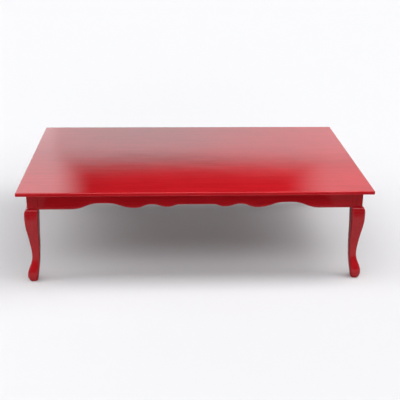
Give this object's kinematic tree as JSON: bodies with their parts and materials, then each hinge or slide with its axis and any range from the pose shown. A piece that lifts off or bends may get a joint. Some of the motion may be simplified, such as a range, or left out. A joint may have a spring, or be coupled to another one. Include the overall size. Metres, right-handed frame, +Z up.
{
  "type": "dolls house dining table",
  "caption": "Dolls house dining table: plain oblong top, cabriole legs with pad feet, scalloped aprons, tenoned and braced frame, glossy red mahogany.",
  "frame": {"origin": "on the floor, under the centre of the top", "axes": "+X along the table's length, +Y across it from front to back, +Z up"},
  "size_m": [0.215, 0.135, 0.0605],
  "materials": {
    "top_lacquer": "gloss red mahogany lacquer",
    "frame_lacquer": "gloss red mahogany lacquer",
    "bare_wood": "sanded, stained by overspray",
    "brad_brass": "plain drawn wire"
  },
  "bodies": {
    "root": {"table_top": "top_lacquer", "leg_front_left": "frame_lacquer", "leg_front_right": "frame_lacquer", "leg_back_left": "frame_lacquer", "leg_back_right": "frame_lacquer", "apron_front": "frame_lacquer", "apron_back": "frame_lacquer", "apron_left": "frame_lacquer", "apron_right": "frame_lacquer", "corner_brace_front_left": "bare_wood", "corner_brace_front_right": "bare_wood", "corner_brace_back_left": "bare_wood", "corner_brace_back_right": "bare_wood", "centre_rail": "bare_wood", "top_dowels": "bare_wood", "corner_brads": "brad_brass"}
  },
  "joints": []
}
